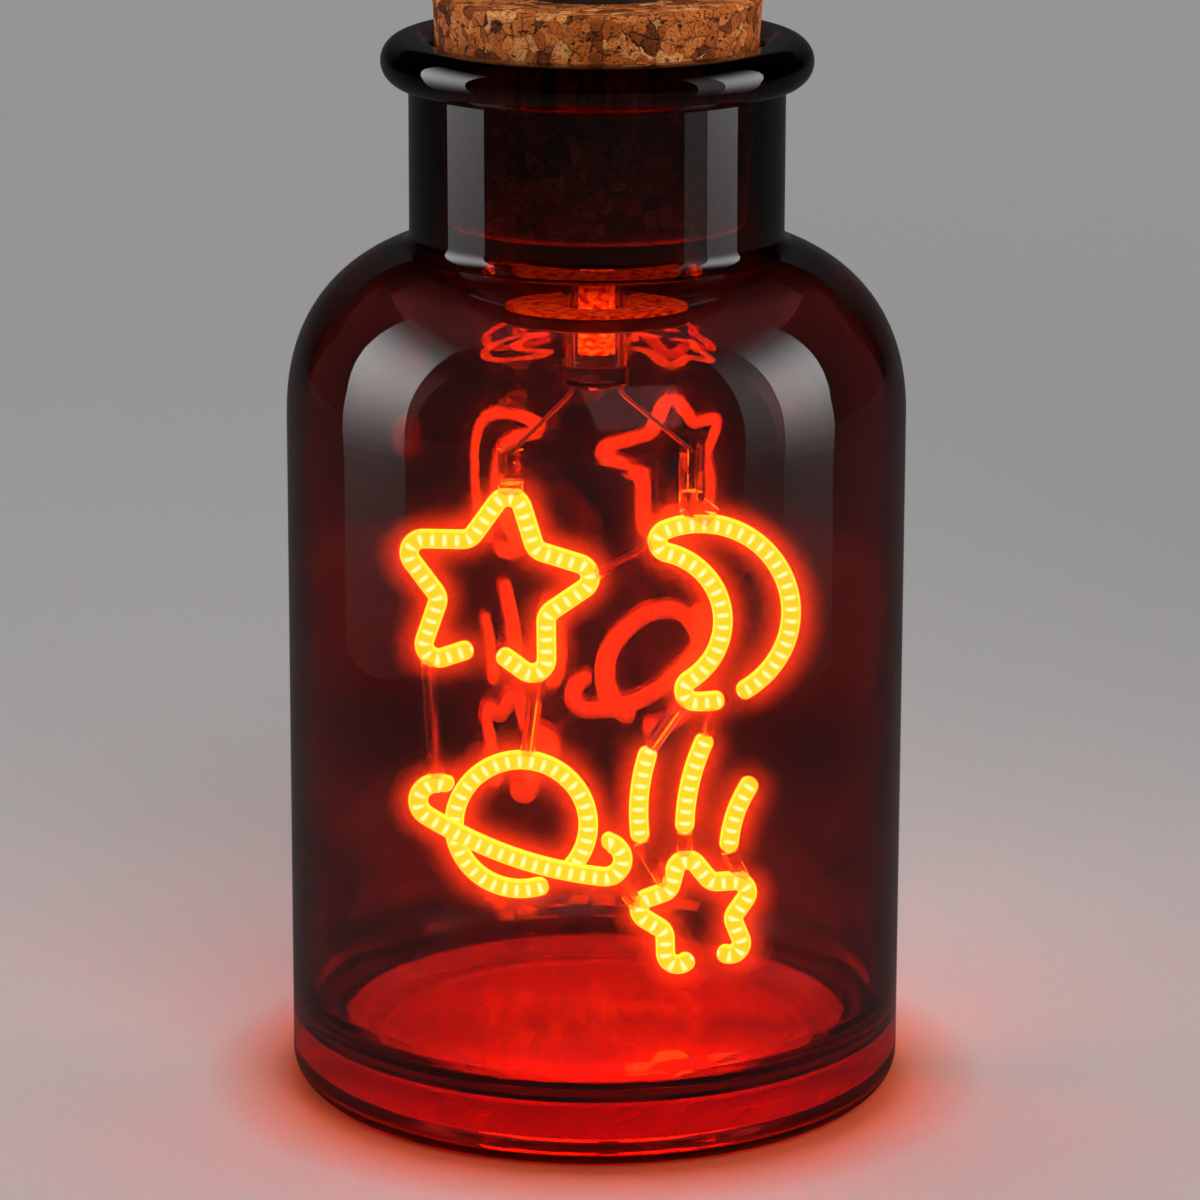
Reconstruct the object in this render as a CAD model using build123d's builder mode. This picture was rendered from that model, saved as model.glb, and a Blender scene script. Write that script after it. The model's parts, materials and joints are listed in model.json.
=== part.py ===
from build123d import *

import os
from math import acos, atan2, ceil, cos, degrees, radians, sin, sqrt, tan

# Cork bottle light: a wide-necked glass bottle with a lit sign of clear and glowing tubes
# that hangs from its cork. Millimetres, +Z up. The bottle stands on z = 0 with its axis
# on Z, and the sign faces -Y.

# Bottle
body_radius = 55.0
body_wall = 3.4
wall_height = 123.1
shoulder_height = 31.3
shoulder_power = 2.305
shoulder_cut_share = 0.633
neck_radius = 33.1
neck_wall = 4.5
neck_height = 32.1
neck_round = 3.0
lip_section = 4.2
lip_overhang = 0.7
mouth_round = 3.0
inner_neck_round = 4.0
heel_radius = 5.8
inner_heel_radius = 13.0
base_thickness = 8.5
pushup_height = 2.8
pushup_slope = 2.8
foot_width = 6.0
shoulder_steps = 10
lip_steps = 5
inner_heel_steps = 5
outline_step = 45.0

# Cork stopper
cork_clearance = 0.3
cork_taper_share = 0.0575
cork_above_lip = 7.7
cork_length = 40.0
cork_edge = 0.9
cork_web = 6.0
cork_sides = 48
fit_clearance = 0.05
loose_clearance = 0.1

# Cap on the cork
flange_radius = 15.0
flange_thickness = 2.0
cap_half_width = 12.75
cap_sides = 8
cap_wall = 1.3
cap_height = 14.0
cap_top_thickness = 1.6
cap_top_edge = 1.4
cap_corner_edge = 0.6
spigot_height = 2.2
rib_reach = 1.6
rib_width = 2.0

# Battery and its well in the cork
cell_width = 14.0
cell_thickness = 8.0
cell_headroom = 2.4
cell_edge = 0.8
well_wire_gap = 1.7
well_side_gap = 0.3
well_wall = 1.5
well_wire_room = 4.0
well_floor = 1.6
foam_thickness = 1.0
tab_width = 3.0
tab_thickness = 0.2
tab_spacing = 7.0

# Circuit board and what it carries
board_thickness = 1.2
socket_width = 8.94
socket_height = 3.2
socket_depth = 7.3
socket_wall = 0.3
socket_recess = 0.3
socket_tongue_width = 6.6
socket_tongue_thickness = 0.7
socket_tongue_length = 5.0
socket_port_gap = 0.25
switch_size = 5.2
switch_height = 3.5
switch_plunger_radius = 1.7
switch_plunger_height = 1.0
led_length = 1.6
led_width = 0.8
led_height = 0.6
lens_radius = 1.0
lens_gap = 0.2
lens_reach = 8.9

# Power button and its pad
button_half_width = 6.0
button_gap = 0.3
button_rise = 1.2
button_edge = 0.6
button_flange_width = 1.1
button_flange_thickness = 1.0
button_flange_gap = 0.1
button_post_radius = 2.2
button_travel = 0.8
button_stop_gap = 0.05
pad_base_half_width = 4.8
pad_top_half_width = 4.4
pad_wall = 0.7

# Glass stem below the cork
stem_radius = 6.15
stem_wall = 1.1
stem_floor = 4.0
stem_edge = 0.45
collar_width = 7.35
collar_thickness = 3.0
lamp_radius = 3.4
lamp_length = 11.0
lamp_floor_gap = 2.3

# Wires
lead_radius = 0.45
lead_spacing = 8.4
splice_drop = 9.0
lead_straight = 1.4
lead_bend = 3.0
lead_end_bend = 2.0
feed_radius = 0.55
feed_bend = 1.3
feed_bend_height = 2.1
splice_length = 8.0
splice_wall = 0.25

# Clear tube ends that hold the electrodes
riser_radius = 2.45
riser_wall = 0.65
riser_left_length = 9.2
riser_right_length = 11.2
riser_floor = 2.6
riser_seat = 0.9
riser_right_run = 3.3
riser_right_direction = 84.0
riser_right_drop = 3.4
lead_fall = 13.3
electrode_wall = 0.45
electrode_length = 3.8
electrode_floor = 0.8
electrode_sink = 1.0

# Lit tubes of the sign, in the plane y = 0, measured from the bottle's inner floor
filament_radius = 1.75
end_edge = 0.6
curve_step = 18.0
bend_step = 32.0
sign_floor_gap = 10.0
end_gap = 2.6
layer_gap = 3.5

star_arms = 5
star_reach = 18.0
star_rise = 72.5
star_tip_radius = 20.4
star_notch_share = 0.5
star_bend = 2.6
star_turn = -9.2

moon_rise = 68.2
moon_radius = 16.5
moon_inner_radius = 13.0
moon_offset = 9.0
moon_tip_bend = 2.2
moon_opening = 190.0
star_moon_gap = 8.6

planet_reach = 13.5
planet_rise = 28.5
planet_radius = 12.2
planet_gap_angle = 300.0
ring_half_length = 19.4
ring_half_height = 5.2
ring_end_radius = 3.3
ring_tilt = -20.0
ring_wrap = 30.0
ring_steps = 6

comet_reach = 18.4
comet_rise = 11.6
comet_tip_radius = 13.2
comet_bend = 2.2
comet_turn = 12.0
streak_bow = 1.1
streak_steps = 6
streak_left_length = 18.0
streak_middle_length = 19.0
streak_right_length = 14.5
streak_gap = 3.4
streak_spread = 8.0
streak_left_angle = 85.0
streak_middle_angle = 78.0
streak_right_angle = 72.0

# Clear links between the lit tubes, and the directions in which they meet a curve
link_radius = 1.5
link_bore_radius = 0.7
link_wire_radius = 0.3
planet_link_direction = 85.0
moon_link_direction = 277.0
moon_tip_link_direction = 215.0
ring_left_link_direction = 90.0
ring_right_link_direction = 300.0

# One overrun for every cut, and the sides of every slim round section
cut_overrun = 1.0
slim_sides = 8

os.makedirs("parts", exist_ok=True)


def arc_points(centre, radius, start, turn, steps):
    """Points along an arc, both ends included, with its angles in degrees."""
    angles = [radians(start + turn * i / steps) for i in range(steps + 1)]
    return [(centre[0] + radius * cos(a), centre[1] + radius * sin(a)) for a in angles]


def rounded(corners, step):
    """Points through (x, z, radius) corners, each rounded in short runs of at most one step."""
    outline = [corners[0][:2]]
    for before, corner, after in zip(corners, corners[1:], corners[2:]):
        place, radius = Vector(*corner[:2]), corner[2]
        if radius == 0:
            outline.append(corner[:2])
            continue
        back = (Vector(*before[:2]) - place).normalized()
        ahead = (Vector(*after[:2]) - place).normalized()
        half = radians(back.get_angle(ahead) / 2)
        centre = place + (back + ahead).normalized() * (radius / sin(half))
        start = place + back * (radius / tan(half)) - centre
        turn = (180 - degrees(2 * half)) * (1 if ahead.cross(back).Z > 0 else -1)
        steps = ceil(abs(turn) / step)
        first = degrees(atan2(start.Y, start.X))
        outline += arc_points((centre.X, centre.Y), radius, first, turn, steps)
    return outline + [corners[-1][:2]]


def joined(*runs):
    """One route from runs that each start where the one before ends."""
    return runs[0] + [point for run in runs[1:] for point in run[1:]]


def turned(points, centre, angle):
    """Points turned about the origin and then moved to a centre."""
    c, s = cos(radians(angle)), sin(radians(angle))
    return [(centre[0] + x * c - z * s, centre[1] + x * s + z * c) for x, z in points]


def on_circle(centre, radius, direction):
    """The point of a circle that lies in one direction from its centre."""
    return arc_points(centre, radius, direction, 0, 1)[0]


# Bottle

inner_radius = body_radius - body_wall
bore_radius = neck_radius - neck_wall
neck_foot_z = wall_height + shoulder_height
lip_z = neck_foot_z + neck_height
lip_top_z = lip_z + lip_section
lip_centre_radius = neck_radius + lip_overhang
lip_under = sqrt(lip_section**2 - lip_overhang**2)
lip_start = degrees(atan2(-lip_under, -lip_overhang))
pushup_radius = body_radius - heel_radius - foot_width - pushup_slope
floor_z = base_thickness


def shoulder(top_radius, foot_radius, height):
    """Points up a shoulder from the wall to the neck, on a curve fuller than a quarter ellipse."""
    reach = (foot_radius - top_radius) / shoulder_cut_share
    end = acos((1 - shoulder_cut_share) ** (shoulder_power / 2))
    rise = height / sin(end) ** (2 / shoulder_power)
    points = []
    for i in range(shoulder_steps):
        angle = end * i / shoulder_steps
        x = foot_radius - reach + reach * cos(angle) ** (2 / shoulder_power)
        points.append((x, wall_height + rise * sin(angle) ** (2 / shoulder_power), 0))
    return points


bottle_corners = [
    (0, pushup_height, 0),
    (pushup_radius, pushup_height, 0),
    (pushup_radius + pushup_slope, 0, 0),
    (body_radius, 0, heel_radius),
    *shoulder(neck_radius, body_radius, shoulder_height),
    (neck_radius, neck_foot_z, neck_round),
    *[
        (x, z, 0)
        for x, z in arc_points((lip_centre_radius, lip_z), lip_section, lip_start, 90 - lip_start, lip_steps)
    ],
    (bore_radius, lip_top_z, mouth_round),
    (bore_radius, neck_foot_z - body_wall, inner_neck_round),
    *reversed(shoulder(bore_radius, inner_radius, shoulder_height - body_wall)),
    (inner_radius, floor_z + inner_heel_radius, 0),
]
inner_heel = arc_points(
    (inner_radius - inner_heel_radius, floor_z + inner_heel_radius),
    inner_heel_radius,
    0,
    -90,
    inner_heel_steps,
)
bottle_outline = joined(rounded(bottle_corners, outline_step), inner_heel) + [(0, floor_z)]

with BuildPart() as bottle:
    with BuildSketch(Plane.XZ):
        with BuildLine():
            Polyline(*bottle_outline, close=True)
        make_face()
    revolve(axis=Axis.Z)
bottle.part.label = "bottle"
export_step(bottle.part, "parts/bottle.step")


# Heights and places of the stopper and its cap

cork_top_z = lip_top_z + cork_above_lip
cork_bottom_z = cork_top_z - cork_length
cork_seat_z = lip_top_z - mouth_round
cork_top_radius = bore_radius - cork_clearance + (cork_top_z - cork_seat_z) * cork_taper_share
cork_bottom_radius = cork_top_radius - cork_length * cork_taper_share
web_top_z = cork_bottom_z + cork_web
flange_top_z = cork_top_z + flange_thickness
board_z = flange_top_z + spigot_height
board_top_z = board_z + board_thickness
cap_top_z = flange_top_z + cap_height
cap_ceiling_z = cap_top_z - cap_top_thickness
cap_inner_half = cap_half_width - cap_wall
well_width = cell_width + 2 * well_wire_gap
well_depth = cell_thickness + 2 * well_side_gap
well_drop = cork_length - cork_web - well_wire_room
well_floor_z = cork_top_z - well_drop + well_floor
cell_height = well_drop - well_floor - foam_thickness - cell_headroom
feed_x = (cell_width + well_wire_gap) / 2
lead_x = lead_spacing / 2


def eight_sided(half_width):
    """The cap's outline in the open sketch, with flat sides toward X and Y."""
    return RegularPolygon(half_width, cap_sides, major_radius=False, rotation=180 / cap_sides)


def slim_round(radius, mode=Mode.ADD):
    """A slim round section in the open sketch, drawn with few sides."""
    return RegularPolygon(radius, slim_sides, rotation=180 / slim_sides, mode=mode)


# Cork stopper

with BuildPart() as cork_stopper:
    with BuildSketch(Plane.XY.offset(cork_bottom_z)):
        RegularPolygon(cork_bottom_radius, cork_sides)
    with BuildSketch(Plane.XY.offset(cork_top_z)):
        RegularPolygon(cork_top_radius, cork_sides)
    loft()
    chamfer(cork_stopper.faces().sort_by(Axis.Z)[0].edges(), cork_edge)
    chamfer(cork_stopper.faces().sort_by(Axis.Z)[-1].edges(), cork_edge)
    with BuildSketch(Plane.XY.offset(cork_top_z)):
        Rectangle(
            well_width + 2 * well_wall + 2 * loose_clearance,
            well_depth + 2 * well_wall + 2 * loose_clearance,
        )
    extrude(amount=cork_web - cork_length, mode=Mode.SUBTRACT)
    with Locations((0, 0, web_top_z)):
        Hole(stem_radius + fit_clearance, depth=cork_web)
cork_stopper.part.label = "cork_stopper"
export_step(cork_stopper.part, "parts/cork_stopper.step")


# Cap base, with the battery well that goes down into the cork

with BuildPart() as cap_base:
    with BuildSketch(Plane.XY.offset(cork_top_z)):
        Circle(flange_radius)
    extrude(amount=flange_thickness)
    with BuildSketch(Plane.XY.offset(flange_top_z)):
        eight_sided(cap_inner_half - fit_clearance)
    extrude(amount=spigot_height)
    with BuildSketch(Plane.XY.offset(cork_top_z)):
        Rectangle(well_width + 2 * well_wall, well_depth + 2 * well_wall)
    extrude(amount=-well_drop)
    with BuildSketch(Plane.XY.offset(well_floor_z)):
        Rectangle(well_width, well_depth)
    extrude(amount=board_z - well_floor_z, mode=Mode.SUBTRACT)
    with BuildSketch(Plane.XY.offset(well_floor_z)):
        with Locations((-feed_x, 0), (feed_x, 0)):
            slim_round(feed_radius + fit_clearance)
    extrude(amount=-well_floor, mode=Mode.SUBTRACT)
cap_base.part.label = "cap_base"
export_step(cap_base.part, "parts/cap_base.step")


# Cap cover, an eight-sided shell with a button hole, a lens hole, a charging port and two ribs

port_z = board_top_z + socket_height / 2

with BuildPart() as cap_cover:
    with BuildSketch(Plane.XY.offset(flange_top_z)):
        eight_sided(cap_half_width)
    extrude(amount=cap_height)
    chamfer(cap_cover.edges().filter_by(Axis.Z), cap_corner_edge)
    chamfer(cap_cover.faces().sort_by(Axis.Z)[-1].edges(), cap_top_edge)
    with BuildSketch(Plane.XY.offset(flange_top_z)):
        eight_sided(cap_inner_half)
    extrude(amount=cap_height - cap_top_thickness, mode=Mode.SUBTRACT)
    with BuildSketch(Plane.XY.offset(board_top_z)):
        with Locations((-cap_inner_half, 0), (cap_inner_half, 0)):
            Rectangle(2 * rib_reach, rib_width)
    extrude(amount=cap_ceiling_z - board_top_z)
    with BuildSketch(Plane.XY.offset(cap_ceiling_z)):
        eight_sided(button_half_width + button_gap)
        with Locations((0, -lens_reach)):
            slim_round(lens_radius)
    extrude(amount=cap_top_thickness, mode=Mode.SUBTRACT)
    with BuildSketch(Plane.XZ.offset(-cap_half_width)):
        with Locations((0, port_z)):
            SlotOverall(socket_width + 2 * socket_port_gap, socket_height + 2 * socket_port_gap)
    extrude(amount=cap_wall + cut_overrun, mode=Mode.SUBTRACT)
cap_cover.part.label = "cap_cover"
export_step(cap_cover.part, "parts/cap_cover.step")


# Battery, its foam pad and its two tabs

cell_z = well_floor_z + foam_thickness
cell_top_z = cell_z + cell_height

with BuildPart() as battery_foam:
    with BuildSketch(Plane.XY.offset(well_floor_z)):
        Rectangle(cell_width, cell_thickness)
    extrude(amount=foam_thickness)
battery_foam.part.label = "battery_foam"
export_step(battery_foam.part, "parts/battery_foam.step")

with BuildPart() as battery_cell:
    with BuildSketch(Plane.XY.offset(cell_z)):
        Rectangle(cell_width, cell_thickness)
    extrude(amount=cell_height)
    chamfer(battery_cell.edges().filter_by(Axis.Z), cell_edge)
battery_cell.part.label = "battery_cell"
export_step(battery_cell.part, "parts/battery_cell.step")


def cell_tab(x):
    """A nickel tab that stands on the battery and is soldered under the board."""
    with BuildPart() as tab:
        with BuildSketch(Plane.XY.offset(cell_top_z)):
            with Locations((x, 0)):
                Rectangle(tab_width, tab_thickness)
        extrude(amount=board_z - cell_top_z)
    return tab


cell_tab_negative = cell_tab(-tab_spacing / 2)
cell_tab_negative.part.label = "cell_tab_negative"
export_step(cell_tab_negative.part, "parts/cell_tab_negative.step")

cell_tab_positive = cell_tab(tab_spacing / 2)
cell_tab_positive.part.label = "cell_tab_positive"
export_step(cell_tab_positive.part, "parts/cell_tab_positive.step")


# Circuit board and what is soldered to it

with BuildPart() as circuit_board:
    with BuildSketch(Plane.XY.offset(board_z)):
        eight_sided(cap_inner_half - loose_clearance)
    extrude(amount=board_thickness)
circuit_board.part.label = "circuit_board"
export_step(circuit_board.part, "parts/circuit_board.step")

socket_front_y = cap_half_width - socket_recess
socket_back_y = socket_front_y - socket_depth

with BuildPart() as usb_socket:
    with BuildSketch(Plane.XZ.offset(-socket_front_y)):
        with Locations((0, port_z)):
            SlotOverall(socket_width, socket_height)
    extrude(amount=socket_depth)
    with BuildSketch(Plane.XZ.offset(-socket_front_y)):
        with Locations((0, port_z)):
            SlotOverall(socket_width - 2 * socket_wall, socket_height - 2 * socket_wall)
    extrude(amount=socket_depth - socket_wall, mode=Mode.SUBTRACT)
    with BuildSketch(Plane.XZ.offset(-socket_back_y)):
        with Locations((0, port_z)):
            Rectangle(socket_tongue_width, socket_tongue_thickness)
    extrude(amount=-socket_tongue_length)
usb_socket.part.label = "usb_socket"
export_step(usb_socket.part, "parts/usb_socket.step")

switch_top_z = board_top_z + switch_height
plunger_top_z = switch_top_z + switch_plunger_height

with BuildPart() as power_switch:
    with BuildSketch(Plane.XY.offset(board_top_z)):
        Rectangle(switch_size, switch_size)
    extrude(amount=switch_height)
    with BuildSketch(Plane.XY.offset(switch_top_z)):
        slim_round(switch_plunger_radius)
    extrude(amount=switch_plunger_height)
power_switch.part.label = "power_switch"
export_step(power_switch.part, "parts/power_switch.step")

with BuildPart() as charge_led:
    with BuildSketch(Plane.XY.offset(board_top_z)):
        with Locations((0, -lens_reach)):
            Rectangle(led_length, led_width)
    extrude(amount=led_height)
charge_led.part.label = "charge_led"
export_step(charge_led.part, "parts/charge_led.step")

with BuildPart() as status_lens:
    with BuildSketch(Plane.XY.offset(board_top_z + led_height + lens_gap)):
        with Locations((0, -lens_reach)):
            slim_round(lens_radius)
    extrude(amount=cap_top_z - board_top_z - led_height - lens_gap)
status_lens.part.label = "status_lens"
export_step(status_lens.part, "parts/status_lens.step")


# Power button and the rubber pad that pushes it back up

button_flange_top_z = cap_ceiling_z - button_flange_gap
button_flange_z = button_flange_top_z - button_flange_thickness
button_top_z = cap_top_z + button_rise
post_z = plunger_top_z + button_travel + button_stop_gap

with BuildPart() as power_button:
    with BuildSketch(Plane.XY.offset(button_flange_z)):
        eight_sided(button_half_width + button_flange_width)
    extrude(amount=button_flange_thickness)
    with BuildSketch(Plane.XY.offset(button_flange_top_z)):
        eight_sided(button_half_width)
    extrude(amount=button_top_z - button_flange_top_z)
    chamfer(power_button.faces().sort_by(Axis.Z)[-1].edges(), button_edge)
    with BuildSketch(Plane.XY.offset(button_flange_z)):
        slim_round(button_post_radius)
    extrude(amount=post_z - button_flange_z)
power_button.part.label = "power_button"
export_step(power_button.part, "parts/power_button.step")

with BuildPart() as button_pad:
    with BuildSketch(Plane.XY.offset(board_top_z)):
        eight_sided(pad_base_half_width)
    with BuildSketch(Plane.XY.offset(button_flange_z)):
        eight_sided(pad_top_half_width)
    loft()
    with BuildSketch(Plane.XY.offset(board_top_z)):
        eight_sided(pad_top_half_width - pad_wall)
    extrude(amount=button_flange_z - board_top_z, mode=Mode.SUBTRACT)
button_pad.part.label = "button_pad"
export_step(button_pad.part, "parts/button_pad.step")


# Routes of the lit tubes, as (x, z) points of the sign's plane

sign_z = floor_z + sign_floor_gap


def star_direction(turn, place):
    """The direction of a star's tips at even places and notches at odd ones, from its top tip."""
    return turn + 90 + 180 / star_arms * place


def star_points(centre, tip_radius, bend, turn):
    """A star from one side of its lowest notch round to the other."""
    corners = []
    for place in range(-star_arms, star_arms + 1):
        radius = tip_radius * (1 if place % 2 == 0 else star_notch_share)
        corners.append((*on_circle(centre, radius, star_direction(turn, place)), bend))
    start = Vector(*corners[0][:2])
    ahead = (Vector(*corners[1][:2]) - start).normalized() * end_gap
    behind = (Vector(*corners[-2][:2]) - start).normalized() * end_gap
    corners[0] = ((start + ahead).X, (start + ahead).Y, 0)
    corners[-1] = ((start + behind).X, (start + behind).Y, 0)
    return rounded(corners, bend_step)


def star_tip(centre, tip_radius, bend, turn, place):
    """The middle of a star's rounded tip."""
    lean = radians(180 / star_arms)
    half = atan2(star_notch_share * sin(lean), 1 - star_notch_share * cos(lean))
    reach = tip_radius - bend * (1 / sin(half) - 1)
    return on_circle(centre, reach, star_direction(turn, place))


def bowed(start, angle, length, bow, steps):
    """A shallow bow from its lower end, leaning to one side of a straight line."""
    shares = [i / steps for i in range(steps + 1)]
    return turned([(length * t, 4 * bow * t * (1 - t)) for t in shares], start, angle)


star_centre = (-star_reach, sign_z + star_rise)
star_route = star_points(star_centre, star_tip_radius, star_bend, star_turn)
star_top, star_low_left, star_low_right, star_right = [
    star_tip(star_centre, star_tip_radius, star_bend, star_turn, place) for place in (0, 4, -4, -2)
]

# The moon's outline: an outer arc, an inner arc and a small arc round each tip
tip_reach = moon_radius - moon_tip_bend
tip_angle = degrees(
    acos(
        (tip_reach**2 + moon_offset**2 - (moon_inner_radius + moon_tip_bend) ** 2)
        / (2 * tip_reach * moon_offset)
    )
)
tip_x, tip_z = on_circle((0, 0), tip_reach, tip_angle)
inner_angle = degrees(atan2(tip_z, tip_x - moon_offset))
moon_gap_angle = degrees(end_gap / moon_radius)
moon_left = star_right[0] + 2 * filament_radius + star_moon_gap
moon_centre = (
    moon_left + moon_tip_bend - tip_reach * cos(radians(moon_opening - tip_angle)),
    sign_z + moon_rise,
)
outer_start = tip_angle + curve_step + moon_gap_angle
outer_turn = 360 - tip_angle - outer_start
inner_turn = 360 - 2 * inner_angle
tip_turn = 180 - inner_angle + tip_angle
moon_route = turned(
    joined(
        arc_points((0, 0), moon_radius, outer_start, outer_turn, ceil(outer_turn / curve_step)),
        arc_points((tip_x, -tip_z), moon_tip_bend, -tip_angle, tip_turn, ceil(tip_turn / bend_step)),
        arc_points(
            (moon_offset, 0), moon_inner_radius, -inner_angle, -inner_turn, ceil(inner_turn / curve_step)
        ),
        arc_points(
            (tip_x, tip_z), moon_tip_bend, inner_angle - 180, tip_turn, ceil(tip_turn / bend_step)
        ),
        arc_points((0, 0), moon_radius, tip_angle, curve_step, 1),
    ),
    moon_centre,
    moon_opening,
)
moon_upper_tip = on_circle(moon_centre, tip_reach, moon_opening - tip_angle)
moon_lower_tip = on_circle(moon_centre, tip_reach, moon_opening + tip_angle)

# The planet and the ring that passes in front of it
planet_centre = (-planet_reach, sign_z + planet_rise)
planet_gap = degrees(end_gap / planet_radius)
planet_route = arc_points(
    planet_centre,
    planet_radius,
    planet_gap_angle + planet_gap / 2,
    360 - planet_gap,
    ceil((360 - planet_gap) / curve_step),
)
ring_focus = ring_half_length - ring_end_radius
ring_flat = ring_half_height - ring_end_radius
ring_centre_z = (ring_focus**2 - ring_flat**2) / (2 * ring_flat)
ring_lean = degrees(atan2(ring_focus, ring_centre_z))
ring_end_turn = 180 + ring_wrap - ring_lean
ring_end_steps = ceil(ring_end_turn / bend_step)
ring_route = turned(
    joined(
        arc_points((-ring_focus, 0), ring_end_radius, 90 - ring_wrap, ring_end_turn, ring_end_steps),
        arc_points(
            (0, ring_centre_z),
            ring_centre_z + ring_half_height,
            270 - ring_lean,
            2 * ring_lean,
            ring_steps,
        ),
        arc_points((ring_focus, 0), ring_end_radius, 270 + ring_lean, ring_end_turn, ring_end_steps),
    ),
    planet_centre,
    ring_tilt,
)

# The comet: a small star with three streaks above it
comet_centre = (comet_reach, sign_z + comet_rise)
comet_route = star_points(comet_centre, comet_tip_radius, comet_bend, comet_turn)
comet_notch_reach = comet_tip_radius * star_notch_share
comet_top, comet_left, comet_right = [
    star_tip(comet_centre, comet_tip_radius, comet_bend, comet_turn, place) for place in (0, 2, -2)
]
streak_z = comet_top[1] + filament_radius + streak_gap
streak_left_route = bowed(
    (comet_top[0] - streak_spread, streak_z - filament_radius),
    streak_left_angle,
    streak_left_length,
    streak_bow,
    streak_steps,
)
streak_middle_route = bowed(
    (comet_top[0], streak_z), streak_middle_angle, streak_middle_length, streak_bow, streak_steps
)
streak_right_route = bowed(
    (comet_top[0] + streak_spread, streak_z - 2 * filament_radius),
    streak_right_angle,
    streak_right_length,
    streak_bow,
    streak_steps,
)


ring_left_end = (*on_circle(planet_centre, ring_focus, 180 + ring_tilt), -layer_gap)
ring_right_end = (*on_circle(planet_centre, ring_focus, ring_tilt), -layer_gap)


def swept_tube(route, depth, radius, end_cut=0):
    """An eight-sided rod along (x, z) points, mitred at each and with eased ends if asked."""
    with BuildPart() as tube:
        with BuildLine(Plane.XZ.offset(depth)) as line:
            Polyline(*route)
        with BuildSketch(Plane(origin=line.line @ 0, x_dir=(0, 1, 0), z_dir=line.line % 0)):
            slim_round(radius)
        sweep(transition=Transition.RIGHT)
        if end_cut:
            for end in (0, 1):
                face = tube.faces().sort_by_distance(line.line @ end)[0]
                chamfer(face.edges(), end_cut)
    return tube


filament_star = swept_tube(star_route, 0, filament_radius, end_edge)
filament_star.part.label = "filament_star"
export_step(filament_star.part, "parts/filament_star.step")

filament_moon = swept_tube(moon_route, 0, filament_radius, end_edge)
filament_moon.part.label = "filament_moon"
export_step(filament_moon.part, "parts/filament_moon.step")

filament_planet = swept_tube(planet_route, 0, filament_radius, end_edge)
filament_planet.part.label = "filament_planet"
export_step(filament_planet.part, "parts/filament_planet.step")

filament_ring = swept_tube(ring_route, layer_gap, filament_radius, end_edge)
filament_ring.part.label = "filament_ring"
export_step(filament_ring.part, "parts/filament_ring.step")

filament_comet = swept_tube(comet_route, 0, filament_radius, end_edge)
filament_comet.part.label = "filament_comet"
export_step(filament_comet.part, "parts/filament_comet.step")

streak_left = swept_tube(streak_left_route, 0, filament_radius, end_edge)
streak_left.part.label = "streak_left"
export_step(streak_left.part, "parts/streak_left.step")

streak_middle = swept_tube(streak_middle_route, 0, filament_radius, end_edge)
streak_middle.part.label = "streak_middle"
export_step(streak_middle.part, "parts/streak_middle.step")

streak_right = swept_tube(streak_right_route, 0, filament_radius, end_edge)
streak_right.part.label = "streak_right"
export_step(streak_right.part, "parts/streak_right.step")


# Clear tube ends with the electrodes that the wires go into

riser_left_x, riser_left_foot_z = star_top
riser_left_top_z = riser_left_foot_z + riser_left_length
riser_right_foot = on_circle(moon_centre, moon_radius, riser_right_direction)
riser_right_x = riser_right_foot[0] - riser_right_run
riser_right_elbow_z = riser_right_foot[1] + riser_right_drop
riser_right_top_z = riser_right_elbow_z + riser_right_length
riser_bore_radius = riser_radius - riser_wall


def riser(route, depth, neighbour):
    """A clear tube up from a lit tube, bored from its top and cut to the lit tube's surface."""
    with BuildPart() as tube:
        add(swept_tube(route, 0, riser_radius).part)
        with BuildSketch(Plane.XY.offset(route[0][1])):
            with Locations((route[0][0], 0)):
                slim_round(riser_bore_radius)
        extrude(amount=-depth, mode=Mode.SUBTRACT)
        add(neighbour.part, mode=Mode.SUBTRACT)
    return tube


riser_left = riser(
    [(riser_left_x, riser_left_top_z), (riser_left_x, riser_left_foot_z + riser_seat)],
    riser_left_length - riser_floor,
    filament_star,
)
riser_left.part.label = "riser_left"
export_step(riser_left.part, "parts/riser_left.step")

riser_right = riser(
    [
        (riser_right_x, riser_right_top_z),
        (riser_right_x, riser_right_elbow_z),
        on_circle(moon_centre, moon_radius + riser_seat, riser_right_direction),
    ],
    riser_right_length - riser_floor,
    filament_moon,
)
riser_right.part.label = "riser_right"
export_step(riser_right.part, "parts/riser_right.step")


def electrode(x, riser_top_z):
    """A metal cup in a clear tube end, open at the top for its wire."""
    with BuildPart() as cup:
        with BuildSketch(Plane.XY.offset(riser_top_z - electrode_sink)):
            with Locations((x, 0)):
                slim_round(riser_bore_radius - fit_clearance)
        extrude(amount=-electrode_length)
        with BuildSketch(Plane.XY.offset(riser_top_z - electrode_sink)):
            with Locations((x, 0)):
                slim_round(riser_bore_radius - fit_clearance - electrode_wall)
        extrude(amount=electrode_floor - electrode_length, mode=Mode.SUBTRACT)
    return cup


electrode_left = electrode(riser_left_x, riser_left_top_z)
electrode_left.part.label = "electrode_left"
export_step(electrode_left.part, "parts/electrode_left.step")

electrode_right = electrode(riser_right_x, riser_right_top_z)
electrode_right.part.label = "electrode_right"
export_step(electrode_right.part, "parts/electrode_right.step")


# Glass stem that holds the wires, with its lamp and the collar under the cork

stem_bottom_z = riser_left_top_z + lead_fall
stem_cavity_z = stem_bottom_z + stem_floor
lead_top_z = web_top_z - splice_drop

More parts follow.
